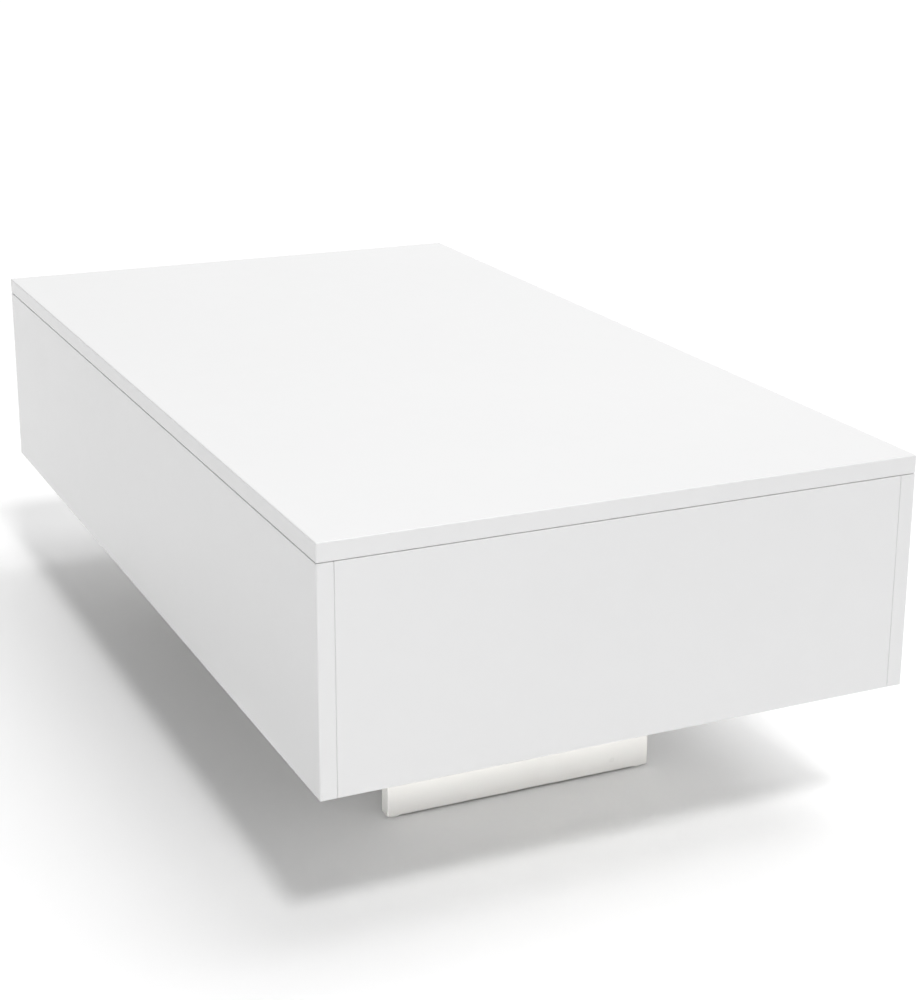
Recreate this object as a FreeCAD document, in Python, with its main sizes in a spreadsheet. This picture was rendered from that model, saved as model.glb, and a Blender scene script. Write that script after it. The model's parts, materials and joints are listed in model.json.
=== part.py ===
import FreeCAD, Part
import Sketcher
import math
import os

# Lift top coffee table: white lacquered board carcass on two leg boards, with a
# top slab that swings up and forward on a pair of parallelogram arms held by
# gas struts.  Millimetres, +Z up, origin on the floor under the middle of the
# table, +X along the length, -Y towards the person who lifts the top.

os.makedirs("parts", exist_ok=True)
V = FreeCAD.Vector
doc = FreeCAD.newDocument("LiftTopCoffeeTable")

# ---------------------------------------------------------------- dimensions
dims = doc.addObject("Spreadsheet::Sheet", "Dims")
TABLE = [
    ("table_len", 1100, "overall length"),
    ("table_wid", 600, "overall width"),
    ("table_ht", 385, "overall height, top closed"),
    ("top_thk", 18, "top slab thickness"),
    ("panel_thk", 16, "carcass board thickness"),
    ("seam_gap", 0.4, "gap between carcass and top slab"),
    ("base_rise", 152, "floor to underside of the carcass"),
    ("glide_ht", 2, "foot glide thickness"),
    ("leg_wid", 295, "leg board width"),
    ("leg_inset", 219.5, "end face to outer face of the leg board"),
    ("rail_ht", 60, "height of the rail between the leg boards"),
    ("edge_ease", 1.0, "eased edge radius on carcass boards"),
    ("top_ease", 1.3, "eased edge radius on the top slab"),
    ("cam_in", 24, "cam centre to board edge"),
    ("cam_rad", 7.5, "cam pocket radius"),
    ("cam_low", 195, "lower corner cam height"),
    ("cam_high", 325, "upper corner cam height"),
    ("dow_low", 225, "lower corner dowel height"),
    ("dow_high", 295, "upper corner dowel height"),
    ("dow_rad", 4, "dowel radius"),
    ("cam_x", 400, "bottom cam spacing along the length"),
    ("dow_x", 200, "bottom dowel position along the length"),
    ("dow_y", 150, "end dowel position across the width"),
    ("leg_scr_a", 120, "outer leg screw position"),
    ("leg_scr_b", 45, "inner leg screw position"),
    ("rail_scr", 200, "rail screw position"),
    ("glide_y", 138, "foot glide position across the width"),
    ("bump_x", 500, "bumper position along the length"),
    ("piv_y", -160, "lower front pivot, across the width"),
    ("piv_z", 311, "lower front pivot height"),
    ("piv_du", 58.7, "rear pivot behind the front pivot"),
    ("piv_dv", -25.5, "rear pivot above the front pivot"),
    ("arm_len", 220, "arm length between pivots"),
    ("arm_ang", 8, "arm angle above horizontal, top closed"),
    ("arm_rad", 11, "arm end radius"),
    ("arm_thk", 4, "arm thickness"),
    ("bush_rad", 5.2, "bush outer radius"),
    ("pin_rad", 4, "pivot pin radius"),
    ("plate_thk", 3, "bracket plate thickness"),
    ("strut_rad", 122, "strut pivots to lower front pivot"),
    ("strut_ang", -70.3, "angle of the lower strut pivot"),
    ("strut_in", 22.5, "strut centre line in from the end panel"),
    ("stop_u", -30.4, "stop stud behind the front pivot"),
    ("stop_v", 22.4, "stop stud above the front pivot"),
    ("flange_wid", 40, "top bracket flange, in from the end panel"),
]
for row, (alias, value, note) in enumerate(TABLE, 1):
    dims.set("A%d" % row, note)
    dims.set("B%d" % row, str(value))
    dims.setAlias("B%d" % row, alias)
doc.recompute()

XL = "(Dims.table_len/2)"
YW = "(Dims.table_wid/2)"
XI = "(Dims.table_len/2-Dims.panel_thk)"          # inner face of the end panels
YI = "(Dims.table_wid/2-Dims.panel_thk)"          # inner face of the long panels
XM = "(Dims.table_len/2-Dims.panel_thk/2)"        # middle of the end panel
YM = "(Dims.table_wid/2-Dims.panel_thk/2)"        # middle of the long panel
ZB = "(Dims.base_rise)"                           # underside of the carcass
ZM = "(Dims.base_rise+Dims.panel_thk/2)"          # middle of the bottom panel
ZF = "(Dims.base_rise+Dims.panel_thk)"            # compartment floor
ZC = "(Dims.table_ht-Dims.top_thk-Dims.seam_gap)"  # top edge of the carcass
ZT = "(Dims.table_ht-Dims.top_thk)"               # underside of the top slab
LXO = "(Dims.table_len/2-Dims.leg_inset)"         # outer face of the leg board
LXI = "(Dims.table_len/2-Dims.leg_inset-Dims.panel_thk)"
LXM = "(Dims.table_len/2-Dims.leg_inset-Dims.panel_thk/2)"
RZ = "(Dims.base_rise-Dims.rail_ht)"              # underside of the rail
CY = "(Dims.table_wid/2-Dims.panel_thk-Dims.cam_in)"
O1Y, O1Z = "Dims.piv_y", "Dims.piv_z"
O2Y, O2Z = "(Dims.piv_y+Dims.piv_du)", "(Dims.piv_z+Dims.piv_dv)"
U1Y = "(Dims.piv_y+Dims.arm_len*cos(Dims.arm_ang))"
U1Z = "(Dims.piv_z+Dims.arm_len*sin(Dims.arm_ang))"
U2Y = "(%s+Dims.piv_du)" % U1Y
U2Z = "(%s+Dims.piv_dv)" % U1Z
AU = "(Dims.strut_rad*cos(Dims.strut_ang))"
AV = "(Dims.strut_rad*sin(Dims.strut_ang))"
AY, AZ = "(Dims.piv_y+%s)" % AU, "(Dims.piv_z+%s)" % AV
BY = "(Dims.piv_y+Dims.strut_rad*cos(Dims.arm_ang))"
BZ = "(Dims.piv_z+Dims.strut_rad*sin(Dims.arm_ang))"
SX = "(%s-Dims.strut_in)" % XI
TILT = "((Dims.strut_ang+Dims.arm_ang)/2)"        # strut off vertical, about +X
VT = "(%s-%s)" % (ZT, U1Z)                        # slab underside above upper pivot

kept = {}          # node name -> document object
checks = []        # (feature, feature before, "add" or "cut")


# ------------------------------------------------------------------- helpers
def num(e):
    if isinstance(e, str):
        e = dims.evalExpression(e)
    return float(getattr(e, "Value", e))


def neg(e):
    return "-(%s)" % e if isinstance(e, str) else -e


def bind(obj, prop, e):
    obj.setExpression(prop, str(e))


def plane(body, role):
    for o in body.Origin.OriginFeatures:
        if o.Role == role:
            return o
    raise RuntimeError("no plane " + role)


def place(obj, x, y, z, axis=None, angle=0):
    """Place an object; angle may be an expression about axis."""
    if axis is not None:
        obj.Placement = FreeCAD.Placement(V(num(x), num(y), num(z)),
                                          FreeCAD.Rotation(V(*axis), num(angle)))
        if isinstance(angle, str):
            bind(obj, "Placement.Rotation.Angle", angle)
    bind(obj, "Placement.Base.x", x)
    bind(obj, "Placement.Base.y", y)
    bind(obj, "Placement.Base.z", z)


def new_body(name, keep=True):
    b = doc.addObject("PartDesign::Body", name)
    b.Label = name
    if keep:
        kept[name] = b
    return b


def new_sketch(body, role, at):
    """Sketch on an origin plane of the body, moved to coordinate `at`."""
    sk = body.newObject("Sketcher::SketchObject", body.Name + "_sk")
    sk.AttachmentSupport = [(plane(body, role), "")]
    sk.MapMode = "FlatFace"
    bind(sk, "AttachmentOffset.Base.z", neg(at) if role == "XZ_Plane" else at)
    return sk


def fix(sk, kind, geo, pos, value, tag):
    axis = -2 if kind == "DistanceX" else -1
    if abs(num(value)) < 1e-9:
        sk.addConstraint(Sketcher.Constraint("PointOnObject", geo, pos, axis))
        return
    i = sk.addConstraint(Sketcher.Constraint(kind, -1, 1, geo, pos, num(value)))
    if isinstance(value, str):
        sk.renameConstraint(i, tag)
        sk.setExpression("Constraints." + tag, value)


def poly(sk, pts):
    base = sk.GeometryCount
    xy = [(num(a), num(b)) for a, b in pts]
    n = len(xy)
    for i in range(n):
        a, b = xy[i], xy[(i + 1) % n]
        sk.addGeometry(Part.LineSegment(V(a[0], a[1], 0), V(b[0], b[1], 0)))
    for i in range(n):
        sk.addConstraint(Sketcher.Constraint("Coincident", base + i, 2, base + (i + 1) % n, 1))
    for i, (a, b) in enumerate(pts):
        fix(sk, "DistanceX", base + i, 1, a, "px%d_%d" % (base, i))
        fix(sk, "DistanceY", base + i, 1, b, "py%d_%d" % (base, i))


def rect(sk, a0, b0, a1, b1):
    poly(sk, [(a0, b0), (a1, b0), (a1, b1), (a0, b1)])


def circ(sk, a, b, r):
    g = sk.addGeometry(Part.Circle(V(num(a), num(b), 0), V(0, 0, 1), num(r)))
    fix(sk, "DistanceX", g, 3, a, "cx%d" % g)
    fix(sk, "DistanceY", g, 3, b, "cy%d" % g)
    i = sk.addConstraint(Sketcher.Constraint("Radius", g, num(r)))
    if isinstance(r, str):
        sk.renameConstraint(i, "cr%d" % g)
        sk.setExpression("Constraints.cr%d" % g, r)


def slot(sk, a0, a1, r):
    """Round-ended slot along the sketch's first axis."""
    x0, x1, rr = num(a0), num(a1), num(r)
    base = sk.GeometryCount
    q = math.pi / 2
    sk.addGeometry(Part.ArcOfCircle(Part.Circle(V(x0, 0, 0), V(0, 0, 1), rr), q, 3 * q))
    sk.addGeometry(Part.LineSegment(V(x0, -rr, 0), V(x1, -rr, 0)))
    sk.addGeometry(Part.ArcOfCircle(Part.Circle(V(x1, 0, 0), V(0, 0, 1), rr), -q, q))
    sk.addGeometry(Part.LineSegment(V(x1, rr, 0), V(x0, rr, 0)))
    add = sk.addConstraint
    C = Sketcher.Constraint
    add(C("Tangent", base, 2, base + 1, 1))
    add(C("Tangent", base + 1, 2, base + 2, 1))
    add(C("Tangent", base + 2, 2, base + 3, 1))
    add(C("Tangent", base + 3, 2, base, 1))
    add(C("PointOnObject", base, 3, -1))
    add(C("PointOnObject", base + 2, 3, -1))
    fix(sk, "DistanceX", base, 3, a0, "sa%d" % base)
    fix(sk, "DistanceX", base + 2, 3, a1, "sb%d" % base)
    i = add(C("Radius", base, rr))
    if isinstance(r, str):
        sk.renameConstraint(i, "sr%d" % base)
        sk.setExpression("Constraints.sr%d" % base, r)


def pad(body, role, at, draw, length):
    """Pad along the positive axis of the plane."""
    before = body.Tip
    sk = new_sketch(body, role, at)
    draw(sk)
    p = body.newObject("PartDesign::Pad", body.Name + "_pad")
    p.Profile = sk
    p.Reversed = (role == "XZ_Plane")
    bind(p, "Length", length)
    body.Tip = p
    checks.append((p, before, "add"))
    return p


def cut(body, role, at, draw, depth, toward):
    """Pocket from coordinate `at`, running towards + or - along the axis."""
    before = body.Tip
    sk = new_sketch(body, role, at)
    draw(sk)
    p = body.newObject("PartDesign::Pocket", body.Name + "_cut")
    p.Profile = sk
    along_normal = (toward > 0) != (role == "XZ_Plane")
    p.Reversed = along_normal
    bind(p, "Length", depth)
    body.Tip = p
    checks.append((p, before, "cut"))
    return p


def holes(body, role, at, items, depth, toward):
    def draw(sk):
        for a, b, r in items:
            circ(sk, a, b, r)
    return cut(body, role, at, draw, depth, toward)


def spin(body, pts):
    """Revolution about the body's Z of a profile given as (radius, z)."""
    sk = new_sketch(body, "XZ_Plane", 0)
    poly(sk, pts)
    rv = body.newObject("PartDesign::Revolution", body.Name + "_rev")
    rv.Profile = sk
    rv.ReferenceAxis = (sk, ["V_Axis"])
    rv.Angle = 360
    body.Tip = rv
    checks.append((rv, None, "add"))
    return rv


def dress(body, kind, size, pred=None):
    """Fillet or chamfer the edges that pred picks (all if none)."""
    doc.recompute()
    before = body.Tip
    names = ["Edge%d" % i for i, e in enumerate(before.Shape.Edges, 1) if pred is None or pred(e)]
    if not names:
        raise RuntimeError("no edges on " + body.Name)
    f = body.newObject("PartDesign::" + kind, body.Name + "_" + kind.lower())
    f.Base = (before, names)
    bind(f, "Radius" if kind == "Fillet" else "Size", size)
    body.Tip = f
    checks.append((f, before, "any"))
    return f


def curve(e):
    try:
        return e.Curve
    except TypeError:
        return None


def round_at(axis, coord, r):
    """Predicate: circular edge of radius r in the plane axis = coord."""
    def pred(e):
        c = curve(e)
        return (isinstance(c, Part.Circle) and abs(c.Radius - r) < 1e-4
                and abs(getattr(e.CenterOfMass, axis) - coord) < 1e-4)
    return pred


def board(name, x0, y0, z0, x1, y1, z1, ease):
    b = new_body(name)
    pad(b, "XY_Plane", z0, lambda sk: rect(sk, x0, y0, x1, y1), "%s-%s" % (z1, z0))
    dress(b, "Fillet", ease)
    return b


def group(name, master, spots):
    """Separate solids of one fastener, each a placed link to its master."""
    links = []
    for i, (x, y, z, rot) in enumerate(spots):
        ln = doc.addObject("App::Link", "%s_%d" % (name, i + 1))
        ln.LinkedObject = master
        ln.Placement = FreeCAD.Placement(V(num(x), num(y), num(z)), rot)
        bind(ln, "Placement.Base.x", x)
        bind(ln, "Placement.Base.y", y)
        bind(ln, "Placement.Base.z", z)
        links.append(ln)
    c = doc.addObject("Part::Compound", name)
    c.Label = name
    c.Links = links
    kept[name] = c
    return c


def mirror(name, source, normal=(1, 0, 0)):
    m = doc.addObject("Part::Mirroring", name)
    m.Label = name
    m.Source = source
    m.Base = V(0, 0, 0)
    m.Normal = V(*normal)
    kept[name] = m
    return m


def both(stem, obj):
    """Right-hand piece is modelled, the left-hand one is its mirror image."""
    obj.Label = "right_" + stem
    kept.pop(obj.Name, None)
    kept["right_" + stem] = obj
    mirror("left_" + stem, obj)


def turn(axis, deg):
    return FreeCAD.Rotation(V(*axis), deg)


X_, Y_, Z_ = (1, 0, 0), (0, 1, 0), (0, 0, 1)
NONE = FreeCAD.Rotation()
TO_NX = turn(Y_, -90)       # local +Z to -X
TO_PX = turn(Y_, 90)        # local +Z to +X
TO_PY = turn(X_, -90)       # local +Z to +Y
TO_NY = turn(X_, 90)        # local +Z to -Y
SIGNS = [(-1, -1), (1, -1), (-1, 1), (1, 1)]


def sgn(s, e):
    return e if s > 0 else neg(e)


# --------------------------------------------------------------- boards
CAMZ = ["Dims.cam_low", "Dims.cam_high"]
DOWZ = ["Dims.dow_low", "Dims.dow_high"]

# front long panel: full length, covers the ends of the end panels
front = board("front_panel", neg(XL), neg(YW), ZB, XL, neg(YI), ZC, "Dims.edge_ease")
holes(front, "XZ_Plane", neg(YI),
      [(sgn(s, XM), z, 3.0) for s in (-1, 1) for z in CAMZ]
      + [(x, ZM, 3.0) for x in ("-Dims.cam_x", 0, "Dims.cam_x")]
      + [(sgn(s, XM), z, "Dims.dow_rad") for s in (-1, 1) for z in DOWZ]
      + [(x, ZM, "Dims.dow_rad") for x in ("-Dims.dow_x", "Dims.dow_x")], 10.5, -1)
for rad, deep in ((2.5, 6.5), (4.7, 1.3)):
    holes(front, "XY_Plane", ZC,
          [(x, neg(YM), rad) for x in ("-Dims.bump_x", 0, "Dims.bump_x")], deep, -1)
mirror("back_panel", front, (0, 1, 0))

# end panel, fitted between the long panels
SCREWS = [(-34, -4), (-3, 26), (72, 2), (24, -62), (22, -104)]
endp = board("right_end_panel", XI, neg(YI), ZB, XL, YI, ZC, "Dims.edge_ease")
holes(endp, "YZ_Plane", XI, [(sgn(s, CY), z, "Dims.cam_rad") for s in (-1, 1) for z in CAMZ], 13, 1)
for s in (-1, 1):
    holes(endp, "XZ_Plane", sgn(s, YI),
          [(XM, z, 4.0) for z in CAMZ] + [(XM, z, "Dims.dow_rad") for z in DOWZ], 22, -s)
holes(endp, "YZ_Plane", XI,
      [(sgn(s, "Dims.dow_y"), ZM, "Dims.dow_rad") for s in (-1, 1)]
      + [("Dims.piv_y+(%s)" % u, "Dims.piv_z+(%s)" % v, 2.0) for u, v in SCREWS], 12, 1)
both("end_panel", endp)

# bottom panel, between the four upright panels
botp = board("bottom_panel", neg(XI), neg(YI), ZB, XI, YI, ZF, 0.6)
holes(botp, "XY_Plane", ZB,
      [(x, sgn(s, CY), "Dims.cam_rad") for s in (-1, 1) for x in ("-Dims.cam_x", 0, "Dims.cam_x")], 13, 1)
for s in (-1, 1):
    holes(botp, "XZ_Plane", sgn(s, YI),
          [(x, ZM, 4.0) for x in ("-Dims.cam_x", 0, "Dims.cam_x")]
          + [(x, ZM, "Dims.dow_rad") for x in ("-Dims.dow_x", "Dims.dow_x")], 22, -s)
    holes(botp, "YZ_Plane", sgn(s, XI),
          [(sgn(k, "Dims.dow_y"), ZM, "Dims.dow_rad") for k in (-1, 1)], 20.5, -s)
LEG_SPOTS = [(sgn(s, LXM), y) for s in (-1, 1)
             for y in ("-Dims.leg_scr_a", "-Dims.leg_scr_b", "Dims.leg_scr_b", "Dims.leg_scr_a")]
RAIL_SPOTS = [("-Dims.rail_scr", 0), (0, 0), ("Dims.rail_scr", 0)]
holes(botp, "XY_Plane", ZF, [(x, y, 3.5) for x, y in LEG_SPOTS + RAIL_SPOTS], 16, -1)
dress(botp, "Chamfer", 1.5, round_at("z", num(ZF), 3.5))

# leg board under each end
leg = board("right_leg_board", LXI, "-Dims.leg_wid/2", "Dims.glide_ht", LXO, "Dims.leg_wid/2", ZB, "Dims.edge_ease")
holes(leg, "XY_Plane", ZB, [(LXM, y, 2.7) for y in
      ("-Dims.leg_scr_a", "-Dims.leg_scr_b", "Dims.leg_scr_b", "Dims.leg_scr_a")], 37, -1)
holes(leg, "XY_Plane", "Dims.glide_ht", [(LXM, "-Dims.glide_y", 1.5), (LXM, "Dims.glide_y", 1.5)], 10, 1)
RAILZ = ["(%s+15)" % RZ, "(%s+45)" % RZ]
holes(leg, "YZ_Plane", LXI, [(0, z, "Dims.dow_rad") for z in RAILZ], 10.5, 1)
both("leg_board", leg)

# rail between the leg boards, under the bottom panel
rail = board("base_stretcher", neg(LXI), "-Dims.panel_thk/2", RZ, LXI, "Dims.panel_thk/2", ZB, 0.8)
holes(rail, "XY_Plane", ZB, [(x, y, 2.7) for x, y in RAIL_SPOTS], 37, -1)
for s in (-1, 1):
    holes(rail, "YZ_Plane", sgn(s, LXI), [(0, z, "Dims.dow_rad") for z in RAILZ], 20.5, -s)

# top slab
topp = board("top_panel", neg(XL), neg(YW), ZT, XL, YW, "Dims.table_ht", "Dims.top_ease")
TOP_SCREWS = [(xs, dy) for xs in (20, 33) for dy in (-3, 62)]
holes(topp, "XY_Plane", ZT,
      [(sgn(s, "(%s-%s)" % (XI, xs)), "%s+(%s)" % (U1Y, dy), 2.0) for s in (-1, 1) for xs, dy in TOP_SCREWS], 12, 1)


# --------------------------------------------------------------- fasteners
def cross(sk, w, r):
    poly(sk, [(w, w), (r, w), (r, -w), (w, -w), (w, -r), (-w, -r),
              (-w, -w), (-r, -w), (-r, w), (-w, w), (-w, r), (w, r)])


def rings(root, crest, start, pitch, count):
    pts = []
    for k in range(count):
        z = start - k * pitch
        pts += [(root, z), (crest, z - pitch * 0.45), (root, z - pitch * 0.9)]
    return pts


screw = new_body("wood_screw", keep=False)
spin(screw, [(0, 0), (3.9, 0), (1.9, -2.0), (1.9, -3.2)] + rings(1.35, 1.9, -3.5, 1.4, 6) + [(0, -14)])
cut(screw, "XY_Plane", 0, lambda sk: cross(sk, 0.5, 2.3), 1.4, -1)

board_screw = new_body("board_screw", keep=False)
spin(board_screw, [(0, 0), (4.9, 0), (3.4, -1.5), (3.4, -15.6)] + rings(2.0, 2.6, -16.2, 2.9, 10) + [(0, -50)])
cut(board_screw, "XY_Plane", 0, lambda sk: poly(
    sk, [(2.3 * math.cos(math.radians(60 * k)), 2.3 * math.sin(math.radians(60 * k) + 1e-6)) for k in range(6)]), 3, -1)

cam = new_body("cam_lock", keep=False)
spin(cam, [(0, 0), (7.0, 0), (7.4, -0.4), (7.4, -12.5), (0, -12.5)])
cut(cam, "XY_Plane", 0, lambda sk: cross(sk, 0.7, 3.6), 2.4, -1)
holes(cam, "XZ_Plane", 8, [(0, -8, 3.7)], 9.5, -1)

cam_bolt = new_body("cam_bolt", keep=False)
spin(cam_bolt, [(0, 24.3), (3.0, 24.3), (3.3, 23.6), (3.3, 21.8), (2.0, 20.6), (2.0, 17.4), (3.0, 16.4),
                (3.0, 1.2), (3.8, 1.2), (3.8, 0), (2.2, 0)] + rings(2.2, 2.9, -0.6, 1.7, 5) + [(1.6, -9.6), (0, -9.6)])

dowel = new_body("wood_dowel", keep=False)
spin(dowel, [(0, -10), (3.3, -10), (4, -9.2), (4, 19.2), (3.3, 20), (0, 20)])

bumper = new_body("bumper_stud", keep=False)
spin(bumper, [(0, -6), (2.2, -6), (2.5, -5.4), (2.5, -1.2), (4.6, -1.2), (4.6, -0.2), (3.9, 0.3), (0, 0.3)])

glide = new_body("glide_nail", keep=False)
spin(glide, [(0, 0), (5.8, 0), (6.8, 0.8), (7, 1.4), (7, 2), (1.5, 2), (1.5, 9.5), (0, 11.5)])

cap = new_body("cover_cap", keep=False)
spin(cap, [(0, 0), (6.6, 0), (6.6, 0.35), (5.8, 0.85), (4.2, 1.15), (0, 1.25)])

group("foot_glides", glide, [(sgn(a, LXM), sgn(b, "Dims.glide_y"), 0, NONE) for a, b in SIGNS])
group("leg_screws", board_screw, [(x, y, ZF, NONE) for x, y in LEG_SPOTS])
group("stretcher_screws", board_screw, [(x, y, ZF, NONE) for x, y in RAIL_SPOTS])
group("screw_cover_caps", cap, [(x, y, ZF, NONE) for x, y in LEG_SPOTS + RAIL_SPOTS])
group("stretcher_dowels", dowel, [(sgn(s, LXI), 0, z, TO_NX if s > 0 else TO_PX) for s in (-1, 1) for z in RAILZ])

# cam locks: the side bore faces the bolt, which comes out of the long panel
group("corner_cam_locks", cam,
      [(sgn(a, XI), sgn(b, CY), z, (TO_NX if a > 0 else TO_PX) * (NONE if b > 0 else turn(Z_, 180)))
       for a, b in SIGNS for z in CAMZ])
group("corner_cam_bolts", cam_bolt,
      [(sgn(a, XM), sgn(b, YI), z, TO_NY if b > 0 else TO_PY) for a, b in SIGNS for z in CAMZ])
group("corner_dowels", dowel,
      [(sgn(a, XM), sgn(b, YI), z, TO_NY if b > 0 else TO_PY) for a, b in SIGNS for z in DOWZ])
group("bottom_cam_locks", cam,
      [(x, sgn(b, CY), ZB, turn(Y_, 180) if b > 0 else turn(X_, 180)) for b in (-1, 1)
       for x in ("-Dims.cam_x", 0, "Dims.cam_x")])
group("bottom_cam_bolts", cam_bolt,
      [(x, sgn(b, YI), ZM, TO_NY if b > 0 else TO_PY) for b in (-1, 1)
       for x in ("-Dims.cam_x", 0, "Dims.cam_x")])
group("bottom_dowels", dowel,
      [(x, sgn(b, YI), ZM, TO_NY if b > 0 else TO_PY) for b in (-1, 1) for x in ("-Dims.dow_x", "Dims.dow_x")]
      + [(sgn(a, XI), sgn(b, "Dims.dow_y"), ZM, TO_NX if a > 0 else TO_PX) for a, b in SIGNS])
group("top_bumpers", bumper,
      [(x, sgn(b, YM), ZC, NONE) for b in (-1, 1) for x in ("-Dims.bump_x", 0, "Dims.bump_x")])

# --------------------------------------------------------------- lift mechanism
# Right-hand side, seen in (u, v) = (+Y, +Z) from the lower front pivot, in
# layers measured inwards (-X) from the end panel: base plate 0-3, arms 4-8,
# top bracket 9-12, gas strut 13.5-31.5.
plate = new_body("base_bracket")
pad(plate, "YZ_Plane", "-Dims.plate_thk",
    lambda sk: poly(sk, [(-46, -14), (-10, -24), (8, -118), (18, -130), (60, -130), (62, -96),
                         (86, -36), (86, 12), (52, 14), (12, 38), (-46, 38)]), "Dims.plate_thk")
place(plate, XI, O1Y, O1Z)
dress(plate, "Fillet", 5, lambda e: isinstance(curve(e), Part.Line) and abs(abs(e.tangentAt(e.FirstParameter).x) - 1) < 1e-6)
holes(plate, "YZ_Plane", "-Dims.plate_thk",
      [(0, 0, "Dims.pin_rad"), ("Dims.piv_du", "Dims.piv_dv", "Dims.pin_rad"), (AU, AV, "Dims.pin_rad"),
       ("Dims.stop_u", "Dims.stop_v", "Dims.pin_rad")] + [(u, v, 2.05) for u, v in SCREWS], "Dims.plate_thk", 1)
dress(plate, "Chamfer", 1.9, round_at("x", -num("Dims.plate_thk"), 2.05))
both("base_bracket", plate)

both("base_bracket_screws", group("base_bracket_screws", screw,
     [("(%s-Dims.plate_thk)" % XI, "Dims.piv_y+(%s)" % u, "Dims.piv_z+(%s)" % v, TO_NX) for u, v in SCREWS]))

lower_pin = new_body("lower_pin", keep=False)
spin(lower_pin, [(0, 0), ("Dims.pin_rad", 0), ("Dims.pin_rad", 9), (7, 9), (7, 10.4), (5.6, 11.5), (0, 11.5)])
both("lower_pivot_pins", group("lower_pivot_pins", lower_pin, [(XI, O1Y, O1Z, TO_NX), (XI, O2Y, O2Z, TO_NX)]))

stud = new_body("stop_stud")
spin(stud, [(0, 0), (4, 0), (4, 3), (3, 3), (3, 9), (4.4, 9), (4.4, 10), (3.8, 10.6), (0, 10.6)])
place(stud, XI, "Dims.piv_y+Dims.stop_u", "Dims.piv_z+Dims.stop_v", Y_, -90)
both("stop_stud", stud)

sleeve = new_body("stop_buffer")
spin(sleeve, [(3.05, 3.1), (4.7, 3.1), (5, 3.4), (5, 8.6), (4.7, 8.9), (3.05, 8.9)])
place(sleeve, XI, "Dims.piv_y+Dims.stop_u", "Dims.piv_z+Dims.stop_v", Y_, -90)
both("stop_buffer", sleeve)


def ball_stud(name, start, seat, y, z):
    """Riveted stem, collar, thin neck and a ball on the strut's centre line."""
    stem = new_body(name + "_stem", keep=False)
    spin(stem, [(0, start), (4, start), (4, seat), (6, seat), (6, 11.4), (5.4, 12), (3.25, 13), (3.25, 20), (0, 20)])
    ball = doc.addObject("Part::Sphere", name + "_ball")
    ball.Radius = 5
    place(ball, 0, 0, "Dims.strut_in")
    f = doc.addObject("Part::Fuse", name)
    f.Base, f.Tool = stem, ball
    place(f, XI, y, z, Y_, -90)
    both(name, f)


ball_stud("lower_ball_stud", 0, 3, AY, AZ)
ball_stud("upper_ball_stud", 4, 8, BY, BZ)


def make_arm(stem, y, z, ribs, extra):
    a = new_body(stem)

    def outline(sk):
        slot(sk, 0, "Dims.arm_len", "Dims.arm_rad")
    pad(a, "YZ_Plane", "-(Dims.plate_thk+1+Dims.arm_thk)", outline, "Dims.arm_thk")
    place(a, XI, y, z, X_, "Dims.arm_ang")
    dress(a, "Fillet", 0.5)
    holes(a, "YZ_Plane", "-(Dims.plate_thk+1+Dims.arm_thk)",
          [(0, 0, "Dims.bush_rad"), ("Dims.arm_len", 0, "Dims.bush_rad")] + extra, "Dims.arm_thk", 1)
    for lo, hi in ribs:
        cut(a, "YZ_Plane", "-(Dims.plate_thk+1+Dims.arm_thk)", lambda sk: slot(sk, lo, hi, 4.5), 0.8, 1)
    both(stem, a)


make_arm("front_arm", O1Y, O1Z, [(24, 104), (140, 196)], [("Dims.strut_rad", 0, 4)])
make_arm("rear_arm", O2Y, O2Z, [(24, 196)], [])

bush = new_body("flanged_bush", keep=False)
spin(bush, [(4.05, 3.1), (7.5, 3.1), (7.5, 4), ("Dims.bush_rad", 4), ("Dims.bush_rad", 8), (7.5, 8), (7.5, 8.9), (4.05, 8.9)])
both("front_arm_bushes", group("front_arm_bushes", bush, [(XI, O1Y, O1Z, TO_NX), (XI, U1Y, U1Z, TO_NX)]))
both("rear_arm_bushes", group("rear_arm_bushes", bush, [(XI, O2Y, O2Z, TO_NX), (XI, U2Y, U2Z, TO_NX)]))

# top bracket: an angle with its upright in layer 9-12 and its flange under the slab
brk = new_body("top_bracket")
pad(brk, "YZ_Plane", -12,
    lambda sk: poly(sk, [(-15, -10), (-8, -15), (44, -39), (68, -39), (76, -30), (76, VT), (-15, VT)]), "Dims.plate_thk")
pad(brk, "YZ_Plane", "-Dims.flange_wid",
    lambda sk: rect(sk, -15, "%s-Dims.plate_thk" % VT, 76, VT), "Dims.flange_wid-11")
place(brk, XI, U1Y, U1Z)
dress(brk, "Fillet", 2, lambda e: isinstance(curve(e), Part.Line) and e.Length > 80
      and abs(e.CenterOfMass.x + 12) < 1e-3 and e.CenterOfMass.z < num(VT) - 1)
dress(brk, "Fillet", 6, lambda e: isinstance(curve(e), Part.Line)
      and ((abs(e.CenterOfMass.x + num("Dims.flange_wid")) < 1e-3 and abs(e.tangentAt(e.FirstParameter).z) > 0.99)))
holes(brk, "YZ_Plane", -12, [(0, 0, "Dims.pin_rad"), ("Dims.piv_du", "Dims.piv_dv", "Dims.pin_rad")], "Dims.plate_thk", 1)
holes(brk, "XY_Plane", "%s-Dims.plate_thk" % VT, [(-xs, dy, 2.05) for xs, dy in TOP_SCREWS], "Dims.plate_thk", 1)
dress(brk, "Chamfer", 1.9, round_at("z", num(VT) - num("Dims.plate_thk"), 2.05))
both("top_bracket", brk)

both("top_bracket_screws", group("top_bracket_screws", screw,
     [("(%s-%s)" % (XI, xs), "%s+(%s)" % (U1Y, dy), "%s-Dims.plate_thk" % ZT, turn(X_, 180)) for xs, dy in TOP_SCREWS]))

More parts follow.
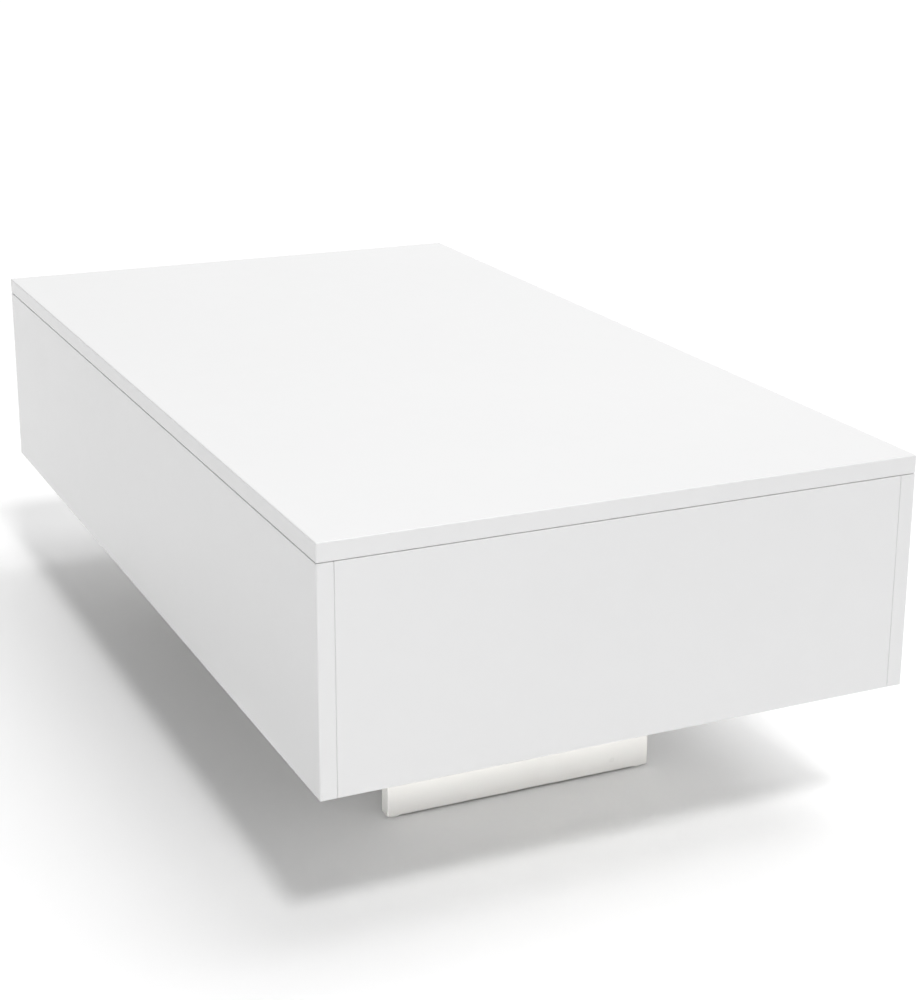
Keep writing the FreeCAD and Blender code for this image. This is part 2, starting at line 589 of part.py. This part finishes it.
upper_pin = new_body("upper_pin", keep=False)
spin(upper_pin, [(0, 0.8), (6, 0.8), (7, 1.5), (7, 3), ("Dims.pin_rad", 3), ("Dims.pin_rad", 12), (0, 12)])
both("upper_pivot_pins", group("upper_pivot_pins", upper_pin, [(XI, U1Y, U1Z, TO_NX), (XI, U2Y, U2Z, TO_NX)]))

# gas strut: both of its pivots lie on one circle about the lower front pivot
tube = new_body("strut_cylinder")
spin(tube, [(0, 9), (3.9, 9), (3.9, 18), (8.2, 18), (9, 18.8), (9, 134.3), (8.4, 135.5), (4.1, 135.5),
            (4.1, 128), (7.5, 128), (7.5, 22), (0, 22)])
place(tube, SX, AY, AZ, X_, TILT)
both("strut_cylinder", tube)

rod = new_body("strut_rod")
spin(rod, [(0, 9), (3.9, 9), (3.9, 17), (4, 17), (4, 118), (7.4, 118), (7.4, 128), (0, 128)])
place(rod, SX, BY, BZ, X_, "%s+180" % TILT)
both("strut_rod", rod)


def socket(name, y, z, ang):
    """Plastic ball socket: round body on the ball, neck along the strut.
    The ball sits in a straight cup behind a narrower lip."""
    def cyl(tag, r, length):
        c = doc.addObject("Part::Cylinder", name + tag)
        c.Radius, c.Height = r, length
        return c
    disc = cyl("_disc", 8, 12)
    place(disc, -7, 0, 0, Y_, 90)
    neck = cyl("_neck", 6, 13)
    place(neck, 0, 0, 4)
    f = doc.addObject("Part::Fuse", name + "_blank")
    f.Base, f.Tool = disc, neck
    cup = cyl("_cup", 5.2, 8)
    place(cup, -5.2, 0, 0, Y_, 90)
    mouth = cyl("_mouth", 4.4, 6)
    place(mouth, 0, 0, 0, Y_, 90)
    bore = cyl("_bore", 3.9, 9)
    place(bore, 0, 0, 9)
    last = f
    for i, tool in enumerate((cup, mouth, bore)):
        c = doc.addObject("Part::Cut", name + ("" if i == 2 else "_cut%d" % i))
        c.Base, c.Tool = last, tool
        last = c
    place(last, SX, y, z, X_, ang)
    both(name, last)


socket("strut_lower_socket", AY, AZ, TILT)
socket("strut_upper_socket", BY, BZ, "%s+180" % TILT)

# --------------------------------------------------------------- checks, export
doc.recompute()
bad = [o.Name + " " + str(o.State) for o in doc.Objects if "Invalid" in o.State or "Error" in o.State]
if bad:
    raise RuntimeError("failed objects: " + ", ".join(bad))
for feat, before, kind in checks:
    now = feat.Shape.Volume
    was = before.Shape.Volume if before is not None else 0.0
    if (kind == "add" and now <= was + 1e-6) or (kind == "cut" and now >= was - 1e-6) or abs(now - was) < 1e-6:
        raise RuntimeError("%s changed nothing (%s)" % (feat.Name, kind))
if len(kept) > 60:
    raise RuntimeError("too many sub-parts")
for name, obj in sorted(kept.items()):
    s = obj.Shape
    if s.isNull() or not s.isValid() or not s.Solids:
        raise RuntimeError("bad shape: " + name)
for name, obj in sorted(kept.items()):
    obj.Label = name
    obj.Shape.exportStep("parts/%s.step" % name)
    bb = obj.Shape.BoundBox
    print("%-26s %2d solids %10.1f mm3  x %.1f..%.1f  y %.1f..%.1f  z %.1f..%.1f" % (
        name, len(obj.Shape.Solids), obj.Shape.Volume, bb.XMin, bb.XMax, bb.YMin, bb.YMax, bb.ZMin, bb.ZMax))
print(len(kept), "sub-parts")
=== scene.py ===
import json
import math

import bmesh
import bpy
from mathutils import Matrix, Vector


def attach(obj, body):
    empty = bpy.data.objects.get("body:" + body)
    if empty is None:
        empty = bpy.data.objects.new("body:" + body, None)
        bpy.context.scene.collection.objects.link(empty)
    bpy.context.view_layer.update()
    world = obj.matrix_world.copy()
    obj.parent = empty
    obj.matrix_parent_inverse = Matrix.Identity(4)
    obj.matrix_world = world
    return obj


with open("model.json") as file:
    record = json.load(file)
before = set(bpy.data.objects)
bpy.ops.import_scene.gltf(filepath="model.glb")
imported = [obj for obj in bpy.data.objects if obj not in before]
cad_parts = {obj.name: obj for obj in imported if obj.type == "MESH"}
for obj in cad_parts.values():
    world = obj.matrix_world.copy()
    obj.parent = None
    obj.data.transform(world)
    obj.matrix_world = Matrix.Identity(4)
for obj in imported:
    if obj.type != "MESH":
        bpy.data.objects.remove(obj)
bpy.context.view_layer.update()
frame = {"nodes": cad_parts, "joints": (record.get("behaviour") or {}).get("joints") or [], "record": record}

scene = bpy.context.scene
nodes = frame["nodes"]

# ------------------------------------------------------------------ camera
cam_data = bpy.data.cameras.new("camera")
cam = bpy.data.objects.new("camera", cam_data)
scene.collection.objects.link(cam)
az, el, roll = math.radians(64.239), math.radians(16.92), math.radians(0.546)
back = Vector((math.sin(az) * math.cos(el), -math.cos(az) * math.cos(el), math.sin(el)))
right = (-back).cross(Vector((0, 0, 1))).normalized()
up = right.cross(-back)
r2 = right * math.cos(roll) + up * math.sin(roll)
u2 = up * math.cos(roll) - right * math.sin(roll)
turn = Matrix((r2, u2, back)).transposed().to_4x4()
cam.matrix_world = Matrix.Translation((2.03027, -0.84807, 0.94825)) @ turn
cam_data.sensor_fit = "AUTO"
cam_data.sensor_width = 36.0
cam_data.lens = 73.62
cam_data.shift_x = -0.038
cam_data.shift_y = -0.055
cam_data.clip_start, cam_data.clip_end = 0.05, 60
scene.camera = cam
scene.view_settings.view_transform = "Standard"
scene.view_settings.look = "None"


# --------------------------------------------------------------- materials
class Net:
    """A material's node tree, built a node at a time."""

    def __init__(self, name):
        self.mat = bpy.data.materials.new(name)
        self.mat.use_nodes = True
        self.t = self.mat.node_tree
        self.t.nodes.clear()
        self.out = self.t.nodes.new("ShaderNodeOutputMaterial")
        self.b = self.t.nodes.new("ShaderNodeBsdfPrincipled")
        self.t.links.new(self.b.outputs[0], self.out.inputs[0])
        self.coord = self.t.nodes.new("ShaderNodeTexCoord").outputs["Object"]

    def set(self, **values):
        for k, v in values.items():
            self.b.inputs[k.replace("_", " ")].default_value = v
        return self

    def link(self, a, b):
        self.t.links.new(a, b)

    def stretch(self, scale, rot=(0, 0, 0)):
        m = self.t.nodes.new("ShaderNodeMapping")
        m.inputs["Scale"].default_value = scale
        m.inputs["Rotation"].default_value = rot
        self.link(self.coord, m.inputs["Vector"])
        return m.outputs[0]

    def noise(self, scale, detail=3.0, rough=0.5, vec=None, distort=0.0):
        n = self.t.nodes.new("ShaderNodeTexNoise")
        n.inputs["Scale"].default_value = scale
        n.inputs["Detail"].default_value = detail
        n.inputs["Roughness"].default_value = rough
        n.inputs["Distortion"].default_value = distort
        self.link(vec or self.coord, n.inputs["Vector"])
        return n.outputs["Fac"]

    def cells(self, scale, vec=None, feature="F1", out="Distance"):
        n = self.t.nodes.new("ShaderNodeTexVoronoi")
        n.feature = feature
        n.inputs["Scale"].default_value = scale
        self.link(vec or self.coord, n.inputs["Vector"])
        return n.outputs[out]

    def ramp(self, fac, stops):
        n = self.t.nodes.new("ShaderNodeValToRGB")
        e = n.color_ramp.elements
        while len(e) < len(stops):
            e.new(0.5)
        for i, (pos, col) in enumerate(stops):
            e[i].position = pos
            e[i].color = (*col, 1) if len(col) == 3 else col
        self.link(fac, n.inputs[0])
        return n.outputs[0]

    def span(self, fac, lo, hi, a=0.0, b=1.0):
        n = self.t.nodes.new("ShaderNodeMapRange")
        for k, v in zip(("From Min", "From Max", "To Min", "To Max"), (a, b, lo, hi)):
            n.inputs[k].default_value = v
        self.link(fac, n.inputs["Value"])
        return n.outputs[0]

    def mix(self, fac, a, b, mode="MIX"):
        n = self.t.nodes.new("ShaderNodeMix")
        n.data_type = "RGBA"
        n.blend_type = mode
        for s, v in ((n.inputs[0], fac), (n.inputs[6], a), (n.inputs[7], b)):
            if hasattr(v, "is_linked"):
                self.link(v, s)
            elif isinstance(v, (int, float)):
                s.default_value = v
            else:
                s.default_value = (*v, 1)
        return n.outputs[2]

    def add(self, a, b, op="ADD"):
        n = self.t.nodes.new("ShaderNodeMath")
        n.operation = op
        for s, v in ((n.inputs[0], a), (n.inputs[1], b)):
            if hasattr(v, "is_linked"):
                self.link(v, s)
            else:
                s.default_value = v
        return n.outputs[0]

    def bump(self, height, strength, distance, normal=None):
        n = self.t.nodes.new("ShaderNodeBump")
        n.inputs["Strength"].default_value = strength
        n.inputs["Distance"].default_value = distance
        self.link(height, n.inputs["Height"])
        if normal is not None:
            self.link(normal, n.inputs["Normal"])
        return n.outputs[0]

    def done(self, color=None, rough=None, normal=None, **more):
        for key, s in (("Base Color", color), ("Roughness", rough), ("Normal", normal)):
            if s is not None:
                self.link(s, self.b.inputs[key])
        for k, s in more.items():
            self.link(s, self.b.inputs[k.replace("_", " ")])
        return self.mat


def lacquer(name, tone, warm, lo, hi, peel=0.35, coat=0.6):
    """Sprayed lacquer: faint cloudy tone, orange peel, soft variation in gloss."""
    n = Net(name).set(Coat_Weight=coat, Coat_Roughness=0.06, Specular_IOR_Level=0.5)
    cloud = n.noise(2.3, 4, 0.55)
    fine = n.noise(38, 3, 0.5)
    blend = n.add(n.add(cloud, 0.75, "MULTIPLY"), n.add(fine, 0.25, "MULTIPLY"))
    col = n.ramp(blend, [(0.30, [c * 0.987 for c in tone]), (0.52, tone), (0.75, warm)])
    rough = n.span(n.noise(6, 4, 0.6), lo, hi, 0.3, 0.7)
    wave = n.noise(95, 2, 0.45)
    speck = n.noise(900, 2, 0.6)
    nrm = n.bump(wave, peel, 0.00006)
    nrm = n.bump(speck, 0.12, 0.00002, nrm)
    return n.done(col, rough, nrm)


def plated(name, base, lo, hi, grain=(400, 60, 60), spangle=0.0):
    """Zinc-plated steel: drawn grain, cloudy passivation, small scuffs."""
    n = Net(name).set(Metallic=1.0)
    lines = n.noise(1.0, 4, 0.6, n.stretch(grain))
    cloud = n.noise(22, 5, 0.6)
    tint = n.ramp(cloud, [(0.3, [c * 0.84 for c in base]), (0.5, base),
                          (0.72, (min(1, base[0] * 1.08), min(1, base[1] * 1.07), min(1, base[2] * 1.02)))])
    scuff = n.ramp(n.noise(1.0, 6, 0.7, n.stretch((60, 900, 300), (0.4, 0.1, 0.3))),
                   [(0.60, (0, 0, 0)), (0.68, (1, 1, 1))])
    col = n.mix(scuff, tint, [min(1, c * 1.15) for c in base])
    if spangle:
        cellcol = n.cells(130, feature="F1", out="Color")
        col = n.mix(spangle, col, cellcol, "SOFT_LIGHT")
    rough = n.add(n.span(lines, lo, hi, 0.3, 0.7), n.span(cloud, -0.04, 0.06, 0.3, 0.7))
    nrm = n.bump(lines, 0.25, 0.00004)
    return n.done(col, rough, nrm)


def moulded(name, dark, light, lo, hi, grain=1400, depth=0.00003, bumpy=0.4, **sockets):
    """Moulded plastic: fine spark-erosion grain with faint flow marks."""
    n = Net(name).set(**sockets)
    flow = n.noise(30, 4, 0.6, None, 0.6)
    g = n.noise(grain, 3, 0.6)
    col = n.ramp(n.add(n.add(flow, 0.7, "MULTIPLY"), n.add(g, 0.3, "MULTIPLY")), [(0.35, dark), (0.65, light)])
    rough = n.span(flow, lo, hi, 0.3, 0.7)
    return n.done(col, rough, n.bump(g, bumpy, depth))


mats = {}
mats["white_gloss_lacquer"] = lacquer("white_gloss_lacquer", (0.765, 0.765, 0.767), (0.772, 0.772, 0.771), 0.10, 0.16, coat=0.3)
mats["offwhite_lacquer"] = lacquer("offwhite_lacquer", (0.755, 0.743, 0.717), (0.762, 0.748, 0.720), 0.26, 0.36, 0.3, 0.1)

# foil on the compartment floor: faint pressed grain along the length
n = Net("white_matt_board").set(Specular_IOR_Level=0.4)
streak = n.noise(1.0, 5, 0.6, n.stretch((6, 170, 170)), 0.4)
pore = n.ramp(n.noise(1.0, 3, 0.65, n.stretch((60, 1500, 1500))), [(0.40, (0, 0, 0)), (0.56, (1, 1, 1))])
tone = n.ramp(streak, [(0.30, (0.735, 0.733, 0.725)), (0.52, (0.775, 0.773, 0.765)), (0.75, (0.79, 0.788, 0.782))])
mats["white_matt_board"] = n.done(n.mix(0.05, tone, pore, "MULTIPLY"), n.span(streak, 0.42, 0.56, 0.3, 0.7),
                                  n.bump(n.add(streak, pore), 0.25, 0.00006))

mats["zinc_plated_plate"] = plated("zinc_plated_plate", (0.56, 0.565, 0.575), 0.26, 0.42, (380, 45, 45), 0.12)
mats["bright_zinc"] = plated("bright_zinc", (0.66, 0.66, 0.655), 0.18, 0.32, (500, 500, 500))

n = Net("chromed_rod").set(Metallic=1.0)
turned = n.noise(1.0, 3, 0.5, n.stretch((90, 1100, 1100)))
mats["chromed_rod"] = n.done(n.ramp(turned, [(0.3, (0.62, 0.63, 0.65)), (0.7, (0.74, 0.745, 0.75))]),
                             n.span(turned, 0.06, 0.14, 0.3, 0.7), n.bump(turned, 0.1, 0.00001))

n = Net("black_enamel").set(Coat_Weight=0.5, Coat_Roughness=0.12)
peel = n.noise(420, 3, 0.5)
soft = n.noise(45, 4, 0.6)
mats["black_enamel"] = n.done(n.ramp(soft, [(0.3, (0.011, 0.011, 0.012)), (0.7, (0.021, 0.021, 0.022))]),
                              n.span(soft, 0.24, 0.38, 0.3, 0.7), n.bump(peel, 0.4, 0.00006))

mats["black_nylon"] = moulded("black_nylon", (0.016, 0.016, 0.017), (0.035, 0.035, 0.036), 0.42, 0.58)
mats["grey_acetal"] = moulded("grey_acetal", (0.33, 0.33, 0.325), (0.40, 0.40, 0.39), 0.34, 0.46, 1200)
mats["white_nylon"] = moulded("white_nylon", (0.70, 0.70, 0.68), (0.77, 0.768, 0.755), 0.32, 0.46, 1100,
                              Subsurface_Weight=0.15, Subsurface_Radius=(0.002, 0.002, 0.0018))
mats["clear_bumper"] = moulded("clear_bumper", (0.66, 0.66, 0.65), (0.74, 0.74, 0.735), 0.28, 0.4, 900,
                               Subsurface_Weight=0.3, Subsurface_Radius=(0.003, 0.003, 0.003))
mats["black_rubber"] = moulded("black_rubber", (0.013, 0.013, 0.013), (0.03, 0.03, 0.029), 0.62, 0.8, 800, 0.00006, 0.5)

n = Net("zinc_alloy").set(Metallic=1.0)
cast = n.noise(700, 4, 0.65)
cloud = n.noise(60, 3, 0.5)
mats["zinc_alloy"] = n.done(n.ramp(cloud, [(0.3, (0.42, 0.42, 0.43)), (0.7, (0.55, 0.55, 0.55))]),
                            n.span(cloud, 0.4, 0.55, 0.3, 0.7), n.bump(cast, 0.5, 0.00008))

n = Net("beech")
ring = n.noise(1.0, 5, 0.6, n.stretch((40, 420, 420)), 0.8)
fleck = n.ramp(n.noise(1.0, 3, 0.6, n.stretch((260, 2600, 2600))), [(0.42, (0, 0, 0)), (0.6, (1, 1, 1))])
wood = n.ramp(ring, [(0.3, (0.46, 0.30, 0.17)), (0.55, (0.58, 0.41, 0.25)), (0.75, (0.64, 0.47, 0.30))])
mats["beech"] = n.done(n.mix(0.12, wood, fleck, "MULTIPLY"), n.span(ring, 0.5, 0.65, 0.3, 0.7), n.bump(ring, 0.3, 0.00008))

slot_of = {s["node"]: s["material_slot"] for s in frame["record"]["subparts"]}
for name, o in nodes.items():
    m = mats[slot_of[name]]
    o.data.materials.clear()
    o.data.materials.append(m)


# ------------------------------------------------------------------ pieces
def curve_ring(name, centre, axis, radius, wire, gap_deg=0.0, start_deg=0.0, body=None, slot=None, mat=None):
    """A sprung wire ring, open by gap_deg, as a smooth closed-ended curve."""
    cu = bpy.data.curves.new(name, "CURVE")
    cu.dimensions = "3D"
    cu.bevel_depth = wire
    cu.bevel_resolution = 6
    cu.use_fill_caps = True
    cu.resolution_u = 6
    a = Vector(axis).normalized()
    e1 = a.orthogonal().normalized()
    e2 = a.cross(e1)
    count = 28
    sp = cu.splines.new("NURBS")
    sp.points.add(count - 1)
    sweep = math.radians(360 - gap_deg)
    for i, p in enumerate(sp.points):
        t = math.radians(start_deg) + sweep * i / (count if gap_deg == 0 else count - 1)
        q = Vector(centre) + (e1 * math.cos(t) + e2 * math.sin(t)) * radius
        p.co = (*q, 1)
    sp.order_u = 4
    if gap_deg == 0:
        sp.use_cyclic_u = True
    else:
        sp.use_endpoint_u = True
    o = bpy.data.objects.new(name, cu)
    scene.collection.objects.link(o)
    o.data.materials.append(mats[mat or slot])
    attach(o, body)
    return o


joint_at = {j["name"]: Vector(j["pos_m"]) for j in frame["joints"]}
for side, s in (("left", -1), ("right", 1)):
    a = joint_at[side + "_strut_swing"].copy()
    b = joint_at[side + "_rod_swing"].copy()
    a.x = b.x = s * 0.5115
    line = (b - a).normalized()
    cyl, rod = side + "_strut_cylinder_body", side + "_strut_rod_body"
    across = Vector((1, 0, 0))
    # wire clips round the two ball sockets
    curve_ring(side + "_lower_socket_clip", a + across * 0.0022 * s, across, 0.0081, 0.00055, 40, 20, cyl, "bright_zinc")
    curve_ring(side + "_upper_socket_clip", b + across * 0.0022 * s, across, 0.0081, 0.00055, 40, 200, rod, "bright_zinc")
    # wiper seal where the rod leaves the cylinder
    curve_ring(side + "_rod_wiper", a + line * 0.1356, line, 0.0052, 0.0009, 0, 0, cyl, "black_rubber")
    # rolled groove near the gland end of the cylinder
    curve_ring(side + "_cylinder_roll", a + line * 0.1262, line, 0.0088, 0.00045, 0, 0, cyl, "black_enamel")

# ------------------------------------------------------------------- stage
def plane_mesh(name, size, z):
    bm = bmesh.new()
    bmesh.ops.create_grid(bm, x_segments=8, y_segments=8, size=size)
    me = bpy.data.meshes.new(name)
    bm.to_mesh(me)
    bm.free()
    o = bpy.data.objects.new(name, me)
    o.location.z = z
    scene.collection.objects.link(o)
    return o


floor = plane_mesh("studio_floor", 60, 0)
n = Net("studio_floor").set(Specular_IOR_Level=0.1)
f1 = n.noise(1.5, 3, 0.5)
floor.data.materials.append(n.done(n.ramp(f1, [(0.3, (0.915, 0.915, 0.915)), (0.7, (0.93, 0.93, 0.93))]), n.span(f1, 0.8, 0.9, 0.3, 0.7)))

world = bpy.data.worlds.new("studio")
scene.world = world
world.use_nodes = True
bg = world.node_tree.nodes["Background"]
bg.inputs["Color"].default_value = (1, 1, 1, 1)
# a white room, brighter behind the table than in front
wt = world.node_tree
direction = wt.nodes.new("ShaderNodeTexCoord")
lean = wt.nodes.new("ShaderNodeVectorMath")
lean.operation = "DOT_PRODUCT"
lean.inputs[1].default_value = (-0.45, 0.89, 0.0)
wt.links.new(direction.outputs["Generated"], lean.inputs[0])
behind = wt.nodes.new("ShaderNodeMapRange")
for key, value in (("From Min", -1.0), ("From Max", 1.0), ("To Min", 0.07), ("To Max", 1.07)):
    behind.inputs[key].default_value = value
wt.links.new(lean.outputs["Value"], behind.inputs["Value"])
wt.links.new(behind.outputs[0], bg.inputs["Strength"])


def area(name, loc, aim, size, power, size_y=None):
    d = bpy.data.lights.new(name, "AREA")
    d.shape = "RECTANGLE"
    d.size, d.size_y = size, size_y or size
    d.energy = power
    o = bpy.data.objects.new(name, d)
    o.location = loc
    o.rotation_mode = "QUATERNION"
    o.rotation_quaternion = (Vector(aim) - Vector(loc)).to_track_quat("-Z", "Y")
    scene.collection.objects.link(o)
    return o


def sun(name, towards, angle, strength):
    d = bpy.data.lights.new(name, "SUN")
    d.energy, d.angle = strength, math.radians(angle)
    o = bpy.data.objects.new(name, d)
    o.location = Vector(towards) * 4
    o.rotation_mode = "QUATERNION"
    o.rotation_quaternion = (-Vector(towards)).to_track_quat("-Z", "Y")
    scene.collection.objects.link(o)
    return o


sun("key", (0.68, -0.05, 1.0), 10, 1.22)
sun("overhead", (0.0, 0.30, 1.0), 40, 0.9)
near_fill = area("near_fill", (1.0, -1.3, 0.9), (0.45, -0.3, 0.2), 0.6, 1.5)
near_fill.visible_glossy = False
# a narrow beam that passes under the cabinet and reaches the leg boards
leg_fill = area("leg_fill", (1.6, -0.05, 0.07), (0.33, 0.0, 0.068), 0.5, 0.125, 0.04)
leg_fill.data.spread = math.radians(8)
leg_fill.visible_camera = False
leg_fill.visible_glossy = False
leg_side = area("leg_side_fill", (0.75, -1.7, 0.07), (0.34, -0.15, 0.07), 0.2, 0.045, 0.04)
leg_side.data.spread = math.radians(8)
leg_side.visible_camera = False
leg_side.visible_glossy = False
